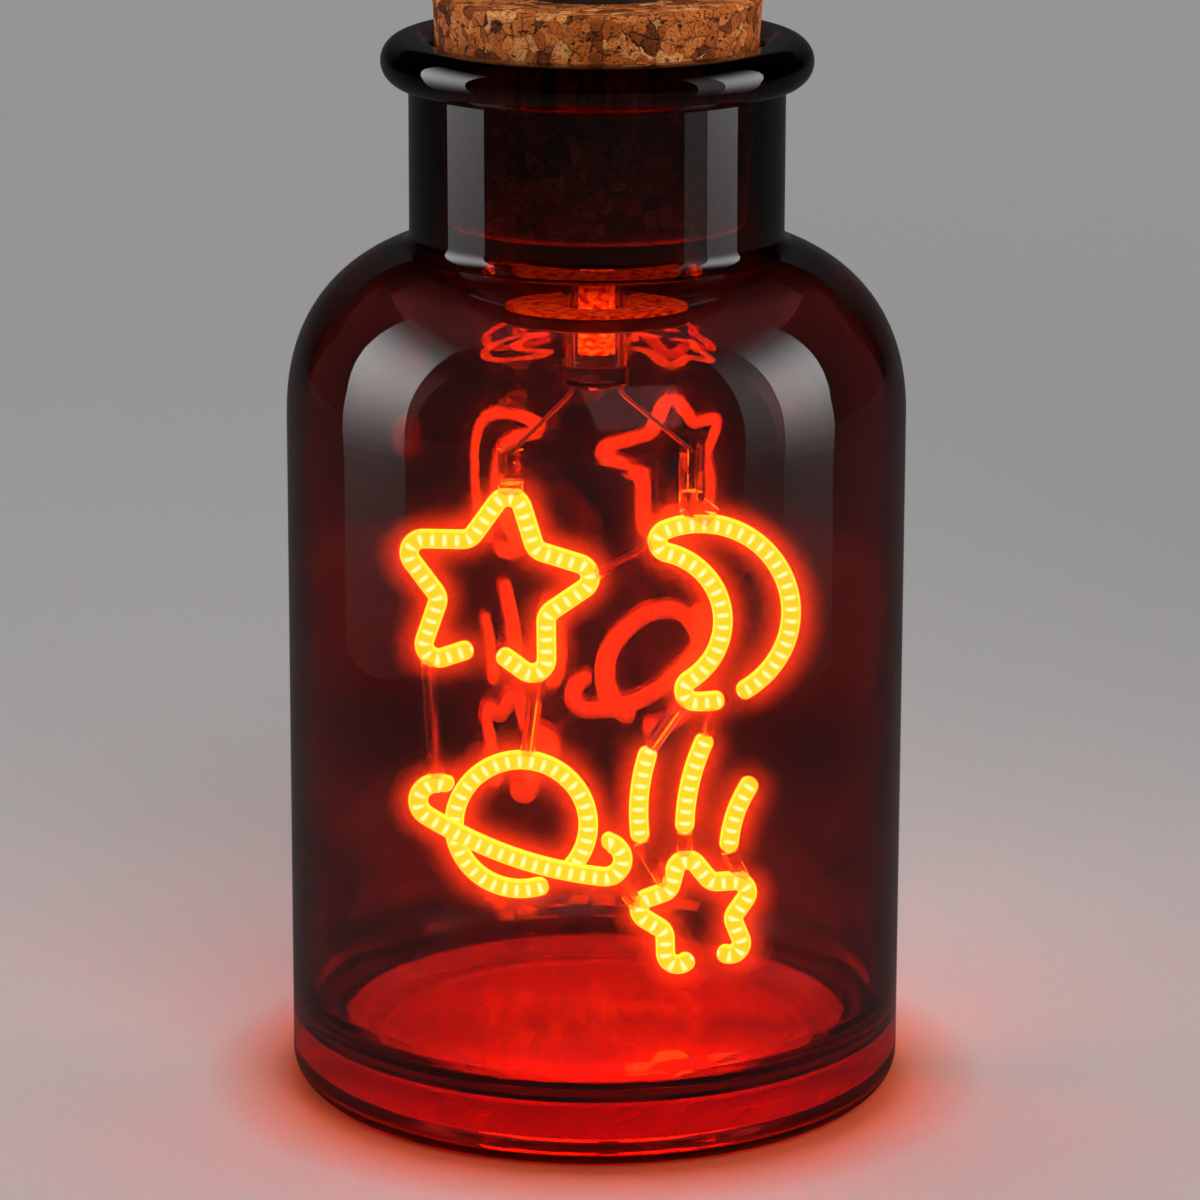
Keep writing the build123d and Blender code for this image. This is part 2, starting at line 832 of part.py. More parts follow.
with BuildPart() as stem_tube:
    with BuildSketch(Plane.XY.offset(stem_bottom_z)):
        Circle(stem_radius)
    extrude(amount=web_top_z - stem_bottom_z)
    chamfer(stem_tube.edges().group_by(Axis.Z)[0], stem_edge)
    with Locations((0, 0, web_top_z)):
        Hole(stem_radius - stem_wall, depth=web_top_z - stem_cavity_z)
    with BuildSketch(Plane.XY.offset(stem_cavity_z)):
        with Locations((-lead_x, 0), (lead_x, 0)):
            slim_round(lead_radius)
    extrude(amount=-stem_floor, mode=Mode.SUBTRACT)
stem_tube.part.label = "stem_tube"
export_step(stem_tube.part, "parts/stem_tube.step")

with BuildPart() as stem_collar:
    with BuildSketch(Plane.XY.offset(cork_bottom_z)):
        Circle(stem_radius + collar_width)
        Circle(stem_radius + fit_clearance, mode=Mode.SUBTRACT)
    extrude(amount=-collar_thickness)
stem_collar.part.label = "stem_collar"
export_step(stem_collar.part, "parts/stem_collar.step")

with BuildPart() as stem_lamp:
    with BuildSketch(Plane.XY.offset(stem_cavity_z + lamp_floor_gap)):
        slim_round(lamp_radius)
    extrude(amount=lamp_length)
stem_lamp.part.label = "stem_lamp"
export_step(stem_lamp.part, "parts/stem_lamp.step")


# Wires from the board down the stem, and on to the two electrodes


def lead_wire(stem_x, riser_x, riser_top_z):
    """A bare wire from inside the stem to the floor of an electrode."""
    mouth_z = riser_top_z - electrode_sink
    corners = [
        (stem_x, lead_top_z, 0),
        (stem_x, stem_bottom_z - lead_straight, lead_bend),
        (riser_x, mouth_z, lead_end_bend),
        (riser_x, mouth_z - electrode_length + electrode_floor, 0),
    ]
    return swept_tube(rounded(corners, bend_step), 0, lead_radius)


def feed_wire(board_x, stem_x):
    """An insulated wire from the board past the battery to the top of a bare wire."""
    turn_z = web_top_z + feed_bend_height
    corners = [
        (board_x, board_z, 0),
        (board_x, turn_z, feed_bend),
        (stem_x, turn_z, feed_bend),
        (stem_x, lead_top_z, 0),
    ]
    return swept_tube(rounded(corners, bend_step), 0, feed_radius)


lead_wire_left = lead_wire(-lead_x, riser_left_x, riser_left_top_z)
lead_wire_left.part.label = "lead_wire_left"
export_step(lead_wire_left.part, "parts/lead_wire_left.step")

lead_wire_right = lead_wire(lead_x, riser_right_x, riser_right_top_z)
lead_wire_right.part.label = "lead_wire_right"
export_step(lead_wire_right.part, "parts/lead_wire_right.step")

feed_wire_positive = feed_wire(-feed_x, -lead_x)
feed_wire_positive.part.label = "feed_wire_positive"
export_step(feed_wire_positive.part, "parts/feed_wire_positive.step")

feed_wire_negative = feed_wire(feed_x, lead_x)
feed_wire_negative.part.label = "feed_wire_negative"
export_step(feed_wire_negative.part, "parts/feed_wire_negative.step")

with BuildPart() as splice_sleeves:
    with BuildSketch(Plane.XY.offset(lead_top_z - splice_length / 2)):
        with Locations((-lead_x, 0), (lead_x, 0)):
            slim_round(feed_radius + splice_wall)
            slim_round(feed_radius, Mode.SUBTRACT)
    extrude(amount=splice_length)
splice_sleeves.part.label = "splice_sleeves"
export_step(splice_sleeves.part, "parts/splice_sleeves.step")


# Clear links between the lit tubes, each cut to the tubes that it joins


def in_sign(point):
    """A point of the sign as (x, y, z), from (x, z) or (x, z, y)."""
    return Vector(point[0], point[2] if len(point) > 2 else 0, point[1])


def link(start, end, neighbours, radius, bore_radius=0):
    """A straight rod or tube between two points of the sign, cut by the tubes it meets."""
    first, last = in_sign(start), in_sign(end)
    with BuildPart() as rod:
        with BuildSketch(Plane(origin=first, x_dir=(0, 1, 0), z_dir=last - first)):
            slim_round(radius)
            if bore_radius:
                slim_round(bore_radius, Mode.SUBTRACT)
        extrude(amount=(last - first).length)
        for neighbour in neighbours:
            add(neighbour.part, mode=Mode.SUBTRACT)
    return rod


moon_tip_left = on_circle(moon_upper_tip, moon_tip_bend, 180)
moon_tip_low = on_circle(moon_lower_tip, moon_tip_bend, moon_tip_link_direction)
moon_low = on_circle(moon_centre, moon_radius, moon_link_direction)
planet_high = on_circle(planet_centre, planet_radius, planet_link_direction)
ring_left_high = (
    *on_circle(ring_left_end[:2], ring_end_radius, ring_left_link_direction),
    -layer_gap,
)
ring_right_low = (
    *on_circle(ring_right_end[:2], ring_end_radius, ring_right_link_direction),
    -layer_gap,
)
comet_notch = on_circle(comet_centre, comet_notch_reach, star_direction(comet_turn, 1))

wired_links = {
    "link_upper": (star_right, moon_tip_left, [filament_star, filament_moon]),
    "link_left": (star_low_left, ring_left_high, [filament_star, filament_ring]),
    "link_planet": (star_low_right, planet_high, [filament_star, filament_planet]),
    "link_middle": (moon_tip_low, streak_left_route[-1], [filament_moon, streak_left]),
    "link_right": (moon_low, streak_middle_route[-1], [filament_moon, streak_middle]),
    "link_lower": (ring_right_low, comet_left, [filament_ring, filament_comet]),
}
plain_links = {
    "link_streak_left": (streak_left_route[0], comet_notch, [streak_left, filament_comet]),
    "link_streak_middle": (streak_middle_route[0], comet_top, [streak_middle, filament_comet]),
    "link_streak_right": (streak_right_route[0], comet_right, [streak_right, filament_comet]),
}

for name, (start, end, neighbours) in wired_links.items():
    tube = link(start, end, neighbours, link_radius, link_bore_radius)
    tube.part.label = name
    export_step(tube.part, f"parts/{name}.step")
    wire = link(start, end, neighbours, link_wire_radius)
    wire.part.label = f"{name}_wire"
    export_step(wire.part, f"parts/{name}_wire.step")

for name, (start, end, neighbours) in plain_links.items():
    rod = link(start, end, neighbours, link_radius)
    rod.part.label = name
    export_step(rod.part, f"parts/{name}.step")
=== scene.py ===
import json
from math import acos, atan2, ceil, cos, degrees, pi, radians, sin, sqrt, tan

import bmesh
import bpy
from mathutils import Matrix, Vector


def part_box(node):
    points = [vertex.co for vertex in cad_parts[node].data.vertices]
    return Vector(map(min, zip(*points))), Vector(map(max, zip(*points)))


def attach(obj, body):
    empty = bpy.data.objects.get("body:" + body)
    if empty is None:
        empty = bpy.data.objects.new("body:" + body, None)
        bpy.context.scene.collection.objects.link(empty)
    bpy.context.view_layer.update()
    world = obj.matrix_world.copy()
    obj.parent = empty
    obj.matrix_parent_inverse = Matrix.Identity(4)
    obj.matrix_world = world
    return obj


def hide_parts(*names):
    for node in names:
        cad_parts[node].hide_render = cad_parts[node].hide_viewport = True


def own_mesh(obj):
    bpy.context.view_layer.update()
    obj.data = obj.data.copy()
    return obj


# Looks of the cork bottle light. Metres, +Z up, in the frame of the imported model.
# The bottle's axis is Z and the sign faces -Y.

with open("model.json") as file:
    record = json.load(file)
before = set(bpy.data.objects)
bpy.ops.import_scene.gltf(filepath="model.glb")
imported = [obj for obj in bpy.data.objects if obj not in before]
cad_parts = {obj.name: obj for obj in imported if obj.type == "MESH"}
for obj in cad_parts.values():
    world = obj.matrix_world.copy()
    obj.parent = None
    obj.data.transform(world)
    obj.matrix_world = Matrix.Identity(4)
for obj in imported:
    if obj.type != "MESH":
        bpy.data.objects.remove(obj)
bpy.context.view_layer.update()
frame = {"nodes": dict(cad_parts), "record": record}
nodes = frame["nodes"]
MM = 0.001

# Camera, fitted to the photograph
CAMERA_HEIGHT = 344.3 * MM
CAMERA_DISTANCE = 974.0 * MM
CAMERA_PITCH = radians(14.705)
CAMERA_ROLL = 0.0025
CAMERA_SHIFT = 0.0034
LENS_SHARE = 5613.4 / 1200
SENSOR = 36.0

# Bottle, as in the model
BODY_RADIUS = 55.0 * MM
BODY_WALL = 3.4 * MM
WALL_HEIGHT = 123.1 * MM
SHOULDER_HEIGHT = 31.3 * MM
SHOULDER_POWER = 2.305
SHOULDER_CUT_SHARE = 0.633
NECK_RADIUS = 33.1 * MM
NECK_WALL = 4.5 * MM
NECK_HEIGHT = 32.1 * MM
NECK_ROUND = 3.0 * MM
LIP_SECTION = 4.2 * MM
LIP_OVERHANG = 0.7 * MM
MOUTH_ROUND = 3.0 * MM
INNER_NECK_ROUND = 4.0 * MM
HEEL_RADIUS = 5.8 * MM
INNER_HEEL_RADIUS = 13.0 * MM
BASE_THICKNESS = 8.5 * MM
PUSHUP_HEIGHT = 2.8 * MM
PUSHUP_SLOPE = 2.8 * MM
PUSHUP_ROUND = 1.4 * MM
FOOT_WIDTH = 6.0 * MM

# Bead and slight dome of the inner floor, which the model leaves out
BEAD_WIDTH = 1.6 * MM
BEAD_HEIGHT = 0.7 * MM
BEAD_ROUND = 0.4 * MM
DOME_RISE = 1.2 * MM
DOME_STEPS = 8

# Fineness of turned forms: sides, steps in their outlines, and degrees in a step
ROUND_SIDES = 192
SHOULDER_STEPS = 28
LIP_STEPS = 24
FINE_STEP = 9.0
# Heights of the extra points on the wall, for the coat's sake
WALL_POINTS = (12.0 * MM, 22.0 * MM, 40.0 * MM)
# An outline that turns by more than this many degrees has a sharp edge there
SHARP_ANGLE = 30.0
# Distance from a straight run's ends to the points that keep it flat
HOLD_MARGIN = 0.3 * MM
AXIS_LIMIT = 1e-9

# Stem, and the boot, flange and face on it
STEM_RADIUS = 6.15 * MM
STEM_GAP = 0.1 * MM
FLANGE_RADIUS = 16.5 * MM
FLANGE_THICKNESS = 2.2 * MM
FLANGE_Z = 143.2 * MM
FACE_RADIUS = 15.9 * MM
FACE_THICKNESS = 0.5 * MM
BOOT_TOP_RADIUS = 13.2 * MM
BOOT_RADIUS = 15.0 * MM
BOOT_TOP_Z = 155.4 * MM
BOOT_BOTTOM_Z = 149.2 * MM
EDGE_ROUND = 0.7 * MM

# Rubber pad under the button
PAD_BASE_RADIUS = 4.8 * MM
PAD_TOP_RADIUS = 4.4 * MM
PAD_INNER_RADIUS = 3.75 * MM
PAD_FOOT = 0.6 * MM
PAD_FOLD = 0.2 * MM
PAD_ROUND = 0.15 * MM

# Glass: its colour through the wall, the coat outside, thickened into painted shade at the neck's
# foot, a trace of haze and the uneven base
GLASS_IOR = 1.5
GLASS_COLOUR = (0.885, 0.22, 0.20, 1)
GLASS_DEPTH = 200.0
COAT_TINT = (0.43, 0.43, 0.44)
THICK_COAT_AND_SHADE_TINT = (0.05, 0.04, 0.04)
HAZE = 0.05
HAZE_ROUGHNESS = 0.32
RIPPLE_GLOW = (0.98, 0.14, 0.03, 1)
RIPPLE_SHEEN = 0.55
RIPPLE_ROUGHNESS = 0.34
# Share of the ripple that is left where the inner floor meets the wall
RIPPLE_EDGE = 0.45

# Light of the sign and of the stem's core, and the painted glow of the face, which stands in for
# the core's light on it
DOT_PITCH = 2.2 * MM
TUBE_STRENGTH = 75.0
TUBE_COLOUR = (1.0, 0.045, 0.0012, 1)
TUBE_RIM_COLOUR = (1.0, 0.066, 0.0030, 1)
BAR_COLOUR = (1.0, 0.085, 0.034, 1)
LAMP_STRENGTH = 6.0
FACE_PAINTED_GLOW = 1.6

# Cork
WARP = (1.6, 1.6, 1.6)
GRANULE_SCALE = 0.42
GRANULE_TONES = [
    (0.0, (0.13, 0.026, 0.004)),
    (0.2, (0.38, 0.082, 0.010)),
    (0.5, (0.54, 0.132, 0.020)),
    (0.8, (0.68, 0.205, 0.042)),
    (1.0, (0.82, 0.350, 0.110)),
]

# Floor and backdrop
FLOOR_HALF_WIDTH = 2.6
FLOOR_NEAR = -3.2
FLOOR_FAR = 2.6
FLOOR_RISE = 1.6
FLOOR_BEND = 0.6
FLOOR_COLOUR = (0.40, 0.395, 0.395)
FLOOR_MIRRORED = (0.065, 0.065, 0.065)
FLOOR_ROUGHNESS = 0.7
# Painted red glow and contact shadow round the foot, by the distance from the axis in tenths of a
# metre: redder and darker right at the foot
FLOOR_PAINTED_GLOW_AND_SHADOW = [(0.55, (1.0, 0.28, 0.12)), (0.6, (1.0, 0.55, 0.42)), (0.72, (1.0, 1.0, 1.0))]
BACKDROP_LEVEL = 0.32
STUDIO_LEVEL = 0.004

# Softboxes beside the bottle
PANEL_DISTANCE = 0.34
PANEL_LIFT = 0.002
FLARE_START = 0.16
CLOTH_LAMP_Z = 0.26

# Sign, as in the model
TUBE_RADIUS = 1.75 * MM
TUBE_SIDES = 20
END_ROUND = 1.6 * MM
END_STEPS = 6
CURVE_STEP = 4.0
END_GAP = 2.6 * MM
LAYER_GAP = 3.5 * MM
SIGN_FLOOR_GAP = 10.0 * MM
NOTCH_SHARE = 0.5
STAR_REACH = 18.0 * MM
STAR_RISE = 72.5 * MM
STAR_TIP_RADIUS = 20.4 * MM
STAR_BEND = 2.6 * MM
STAR_TURN = -9.2
MOON_RISE = 68.2 * MM
MOON_RADIUS = 16.5 * MM
MOON_INNER_RADIUS = 13.0 * MM
MOON_OFFSET = 9.0 * MM
MOON_TIP_BEND = 2.2 * MM
MOON_OPENING = 190.0
MOON_END_TURN = 18.0
STAR_MOON_GAP = 8.6 * MM
PLANET_REACH = 13.5 * MM
PLANET_RISE = 28.5 * MM
PLANET_RADIUS = 12.2 * MM
PLANET_GAP_ANGLE = 300.0
RING_HALF_LENGTH = 19.4 * MM
RING_HALF_HEIGHT = 5.2 * MM
RING_END_RADIUS = 3.3 * MM
RING_TILT = -20.0
RING_WRAP = 30.0
RING_STEPS = 24
COMET_REACH = 18.4 * MM
COMET_RISE = 11.6 * MM
COMET_TIP_RADIUS = 13.2 * MM
COMET_BEND = 2.2 * MM
COMET_TURN = 12.0
STREAK_BOW = 1.1 * MM
STREAK_GAP = 3.4 * MM
STREAK_SPREAD = 8.0 * MM
STREAK_STEPS = 24
STREAKS = {
    "streak_left": (18.0 * MM, 85.0),
    "streak_middle": (19.0 * MM, 78.0),
    "streak_right": (14.5 * MM, 72.0),
}


# Routes


def arc_points(centre, radius, start, turn, steps):
    """Points along an arc, both ends included. Its start and turn are in degrees."""
    angles = [radians(start + turn * i / steps) for i in range(steps + 1)]
    return [(centre[0] + radius * cos(a), centre[1] + radius * sin(a)) for a in angles]


def on_circle(centre, radius, direction):
    return arc_points(centre, radius, direction, 0, 1)[0]


def rounded(corners, step):
    """Points through (x, z, radius) corners, each rounded in runs of at most one step."""
    outline = [tuple(corners[0][:2])]
    for before, corner, after in zip(corners, corners[1:], corners[2:]):
        place, radius = Vector(corner[:2]), corner[2]
        if radius == 0:
            outline.append(tuple(corner[:2]))
            continue
        back = (Vector(before[:2]) - place).normalized()
        ahead = (Vector(after[:2]) - place).normalized()
        half = back.angle(ahead) / 2
        centre = place + (back + ahead).normalized() * (radius / sin(half))
        start = place + back * (radius / tan(half)) - centre
        side = 1 if ahead.x * back.y - ahead.y * back.x > 0 else -1
        turn = (180 - degrees(2 * half)) * side
        first = degrees(atan2(start.y, start.x))
        outline += arc_points(centre, radius, first, turn, max(1, ceil(abs(turn) / step)))
    return outline + [tuple(corners[-1][:2])]


def joined(*runs):
    return runs[0] + [point for run in runs[1:] for point in run[1:]]


def turned(points, centre, angle):
    c, s = cos(radians(angle)), sin(radians(angle))
    return [(centre[0] + x * c - z * s, centre[1] + x * s + z * c) for x, z in points]


def arc(centre, radius, start, turn):
    return arc_points(centre, radius, start, turn, max(1, ceil(abs(turn) / CURVE_STEP)))


def star_route(centre, tip_radius, bend, turn):
    corners = []
    for i in range(11):
        radius = tip_radius * (NOTCH_SHARE if i % 2 == 0 else 1)
        corners.append((*on_circle(centre, radius, turn - 90 + 36 * i), bend))
    for end, beside in ((0, 1), (-1, -2)):
        start = Vector(corners[end][:2])
        trimmed = start + (Vector(corners[beside][:2]) - start).normalized() * END_GAP
        corners[end] = (*trimmed, 0)
    return rounded(corners, CURVE_STEP)


def star_tip(centre, tip_radius, bend, direction):
    half = atan2(NOTCH_SHARE * sin(radians(36)), 1 - NOTCH_SHARE * cos(radians(36)))
    return on_circle(centre, tip_radius - bend * (1 / sin(half) - 1), direction)


def bowed(start, angle, length):
    shares = [i / STREAK_STEPS for i in range(STREAK_STEPS + 1)]
    return turned([(length * t, 4 * STREAK_BOW * t * (1 - t)) for t in shares], start, angle)


sign_z = BASE_THICKNESS + SIGN_FLOOR_GAP
star_centre = (-STAR_REACH, sign_z + STAR_RISE)
star_right = star_tip(star_centre, STAR_TIP_RADIUS, STAR_BEND, STAR_TURN + 18)

tip_reach = MOON_RADIUS - MOON_TIP_BEND
tip_angle = degrees(
    acos(
        (tip_reach**2 + MOON_OFFSET**2 - (MOON_INNER_RADIUS + MOON_TIP_BEND) ** 2)
        / (2 * tip_reach * MOON_OFFSET)
    )
)
tip_x, tip_z = on_circle((0, 0), tip_reach, tip_angle)
inner_angle = degrees(atan2(tip_z, tip_x - MOON_OFFSET))
tip_turn = 180 - inner_angle + tip_angle
outer_start = tip_angle + MOON_END_TURN + degrees(END_GAP / MOON_RADIUS)
moon_left = star_right[0] + 2 * TUBE_RADIUS + STAR_MOON_GAP
moon_centre = (
    moon_left + MOON_TIP_BEND - tip_reach * cos(radians(MOON_OPENING - tip_angle)),
    sign_z + MOON_RISE,
)
moon_route = turned(
    joined(
        arc((0, 0), MOON_RADIUS, outer_start, 360 - tip_angle - outer_start),
        arc((tip_x, -tip_z), MOON_TIP_BEND, -tip_angle, tip_turn),
        arc((MOON_OFFSET, 0), MOON_INNER_RADIUS, -inner_angle, 2 * inner_angle - 360),
        arc((tip_x, tip_z), MOON_TIP_BEND, inner_angle - 180, tip_turn),
        arc((0, 0), MOON_RADIUS, tip_angle, MOON_END_TURN),
    ),
    moon_centre,
    MOON_OPENING,
)

planet_centre = (-PLANET_REACH, sign_z + PLANET_RISE)
planet_gap = degrees(END_GAP / PLANET_RADIUS)
planet_route = arc(
    planet_centre, PLANET_RADIUS, PLANET_GAP_ANGLE + planet_gap / 2, 360 - planet_gap
)
ring_focus = RING_HALF_LENGTH - RING_END_RADIUS
ring_flat = RING_HALF_HEIGHT - RING_END_RADIUS
ring_centre_z = (ring_focus**2 - ring_flat**2) / (2 * ring_flat)
ring_lean = degrees(atan2(ring_focus, ring_centre_z))
ring_end_turn = 180 + RING_WRAP - ring_lean
ring_route = turned(
    joined(
        arc((-ring_focus, 0), RING_END_RADIUS, 90 - RING_WRAP, ring_end_turn),
        arc_points(
            (0, ring_centre_z),
            ring_centre_z + RING_HALF_HEIGHT,
            270 - ring_lean,
            2 * ring_lean,
            RING_STEPS,
        ),
        arc((ring_focus, 0), RING_END_RADIUS, 270 + ring_lean, ring_end_turn),
    ),
    planet_centre,
    RING_TILT,
)

comet_centre = (COMET_REACH, sign_z + COMET_RISE)
comet_top = star_tip(comet_centre, COMET_TIP_RADIUS, COMET_BEND, COMET_TURN + 90)
streak_z = comet_top[1] + TUBE_RADIUS + STREAK_GAP
streak_feet = {
    "streak_left": (comet_top[0] - STREAK_SPREAD, streak_z - TUBE_RADIUS),
    "streak_middle": (comet_top[0], streak_z),
    "streak_right": (comet_top[0] + STREAK_SPREAD, streak_z - 2 * TUBE_RADIUS),
}
lit_routes = {
    "filament_star": (star_route(star_centre, STAR_TIP_RADIUS, STAR_BEND, STAR_TURN), 0),
    "filament_moon": (moon_route, 0),
    "filament_planet": (planet_route, 0),
    "filament_ring": (ring_route, -LAYER_GAP),
    "filament_comet": (star_route(comet_centre, COMET_TIP_RADIUS, COMET_BEND, COMET_TURN), 0),
}
for name, (length, angle) in STREAKS.items():
    lit_routes[name] = (bowed(streak_feet[name], angle, length), 0)


# Node helpers


def new_material(name):
    """An empty node material and its tree."""
    material = bpy.data.materials.new(name)
    material.use_nodes = True
    material.node_tree.nodes.clear()
    return material, material.node_tree


def add_node(tree, kind, inputs=None, **settings):
    """A node with its settings and input values. A value that is a socket is linked."""
    node = tree.nodes.new(kind)
    for key, value in settings.items():
        setattr(node, key, value)
    for key, value in (inputs or {}).items():
        if isinstance(value, bpy.types.NodeSocket):
            tree.links.new(value, node.inputs[key])
        else:
            node.inputs[key].default_value = value
    return node


def output(tree, surface, volume=None):
    node = tree.nodes.new("ShaderNodeOutputMaterial")
    tree.links.new(surface, node.inputs["Surface"])
    if volume:
        tree.links.new(volume, node.inputs["Volume"])


def ramp(tree, factor, stops):
    """A colour ramp through (place, grey or colour) stops."""
    node = add_node(tree, "ShaderNodeValToRGB", {"Fac": factor})
    while len(node.color_ramp.elements) < len(stops):
        node.color_ramp.elements.new(1.0)
    for element, (place, colour) in zip(node.color_ramp.elements, stops):
        element.position = place
        element.color = (*colour, 1) if isinstance(colour, tuple) else (colour, colour, colour, 1)
    return node.outputs["Color"]


def coordinates(tree, scale=(1, 1, 1)):
    """Object coordinates in millimetres times a scale."""
    place = add_node(tree, "ShaderNodeTexCoord").outputs["Object"]
    mapping = add_node(tree, "ShaderNodeMapping", {"Vector": place})
    mapping.inputs["Scale"].default_value = [s / MM for s in scale]
    return mapping.outputs["Vector"]


def maths(tree, operation, first, second=0.0, third=0.0):
    inputs = {0: first, 1: second, 2: third}
    return add_node(tree, "ShaderNodeMath", inputs, operation=operation).outputs[0]


def noise(tree, place, scale, detail):
    inputs = {"Vector": place, "Scale": scale, "Detail": detail}
    return add_node(tree, "ShaderNodeTexNoise", inputs).outputs


def bumped(tree, height, strength, distance):
    """The normal of a bump."""
    inputs = {"Strength": strength, "Distance": distance, "Height": height}
    return add_node(tree, "ShaderNodeBump", inputs).outputs[0]


def layered(tree, share, first, second):
    """The first shader with a share of the second."""
    return add_node(tree, "ShaderNodeMixShader", {0: share, 1: first, 2: second}).outputs[0]


def light_path(tree, kind):
    return tree.nodes.new("ShaderNodeLightPath").outputs[kind]


def marked(tree, name):
    """A value that the mesh's points carry."""
    return add_node(tree, "ShaderNodeAttribute", attribute_name=name).outputs["Fac"]


def glowing(tree, colour, strength):
    inputs = {"Color": colour, "Strength": strength}
    return add_node(tree, "ShaderNodeEmission", inputs).outputs[0]


def mixed(tree, factor, first, second, blend="MIX"):
    node = tree.nodes.new("ShaderNodeMix")
    node.data_type = "RGBA"
    node.blend_type = blend
    for index, value in ((0, factor), (6, first), (7, second)):
        if isinstance(value, bpy.types.NodeSocket):
            tree.links.new(value, node.inputs[index])
        else:
            node.inputs[index].default_value = value
    return node.outputs[2]


# Materials


def smoke_glass():
    """Red glass, coloured all through, with a smoke-grey coat on the outside and painted shade in
    it at the neck's foot.
    """
    material, tree = new_material("smoke_glass")
    wave = noise(tree, coordinates(tree, (0.03, 0.03, 0.015)), 1.0, 1.0)
    bump = bumped(tree, wave[0], 0.25, 1.2 * MM)
    coat_and_shade = marked(tree, "coat_and_shade")
    tint = ramp(tree, coat_and_shade, [(0.0, 1.0), (0.5, COAT_TINT), (1.0, THICK_COAT_AND_SHADE_TINT)])
    bent, hazy = (
        add_node(
            tree,
            "ShaderNodeBsdfRefraction",
            {"Color": tint, "Roughness": roughness, "IOR": GLASS_IOR, "Normal": bump},
        ).outputs[0]
        for roughness in (0.0, HAZE_ROUGHNESS)
    )
    mirror = add_node(
        tree, "ShaderNodeBsdfGlossy", {"Color": (1, 1, 1, 1), "Roughness": 0.0, "Normal": bump}
    ).outputs[0]
    share = add_node(tree, "ShaderNodeFresnel", {"IOR": GLASS_IOR, "Normal": bump}).outputs[0]
    glass = layered(tree, share, layered(tree, HAZE, bent, hazy), mirror)
    streaks = noise(tree, coordinates(tree, (0.13, 0.03, 0.1)), 1.0, 1.0)
    unevenness = ramp(tree, streaks[0], [(0.25, 0.34), (0.75, 0.50)])
    catch = maths(tree, "MULTIPLY", marked(tree, "ripple"), unevenness)
    caught = add_node(tree, "ShaderNodeBsdfDiffuse", {"Color": RIPPLE_GLOW}).outputs[0]
    sheen = add_node(
        tree,
        "ShaderNodeBsdfGlossy",
        {"Color": RIPPLE_GLOW, "Roughness": RIPPLE_ROUGHNESS, "Normal": bump},
    ).outputs[0]
    glass = layered(tree, catch, glass, layered(tree, RIPPLE_SHEEN, caught, sheen))
    shade = mixed(tree, 1.0, tint, tint, "MULTIPLY")
    clear = add_node(tree, "ShaderNodeBsdfTransparent", {"Color": shade}).outputs[0]
    skin = layered(tree, light_path(tree, "Is Shadow Ray"), glass, clear)
    body = add_node(
        tree, "ShaderNodeVolumeAbsorption", {"Color": GLASS_COLOUR, "Density": GLASS_DEPTH}
    )
    output(tree, skin, body.outputs[0])
    return material


def clear_glass():
    """Clear glass of the stem, the tube ends and the links."""
    material, tree = new_material("clear_glass")
    wave = noise(tree, coordinates(tree), 0.3, 1.0)
    bump = bumped(tree, wave[0], 0.15, 0.2 * MM)
    glass = add_node(
        tree,
        "ShaderNodeBsdfGlass",
        {"Color": (1, 0.98, 0.96, 1), "Roughness": 0.01, "IOR": 1.47, "Normal": bump},
    ).outputs[0]
    clear = add_node(
        tree, "ShaderNodeBsdfTransparent", {"Color": (0.96, 0.94, 0.92, 1)}
    ).outputs[0]
    output(tree, layered(tree, light_path(tree, "Is Shadow Ray"), glass, clear))
    return material


def lit_tube():
    """Milky tube lit by a row of short bright bars: so bright that its red floods the glass."""
    material, tree = new_material("lit_tube")
    along = maths(tree, "PINGPONG", marked(tree, "along"), DOT_PITCH / 2)
    across = marked(tree, "across")
    bar = add_node(
        tree,
        "ShaderNodeMapRange",
        {0: along, 1: 0.02 * DOT_PITCH, 2: 0.26 * DOT_PITCH, 3: 1.0, 4: 0.0},
        interpolation_type="SMOOTHSTEP",
    ).outputs[0]
    middle = ramp(tree, across, [(0.0, 1.0), (0.35, 0.85), (0.75, 0.0)])
    rim = ramp(tree, across, [(0.74, 0.0), (0.86, 1.0)])
    colour = mixed(tree, rim, TUBE_COLOUR, TUBE_RIM_COLOUR)
    colour = mixed(tree, maths(tree, "MULTIPLY", bar, middle), colour, BAR_COLOUR)
    output(tree, glowing(tree, colour, TUBE_STRENGTH))
    return material


def lamp_glow(name, strength):
    """The stem's glowing core, and the painted glow of the face round it, which stands in for the
    core's light on it.
    """
    material, tree = new_material(name)
    cloud = noise(tree, coordinates(tree, (1, 1, 2)), 0.7, 3.0)
    colour = ramp(
        tree,
        cloud[0],
        [(0.38, (0.35, 0.006, 0.0)), (0.52, (1.0, 0.05, 0.001)), (0.64, (1.0, 0.13, 0.01))],
    )
    output(tree, glowing(tree, colour, strength))
    return material


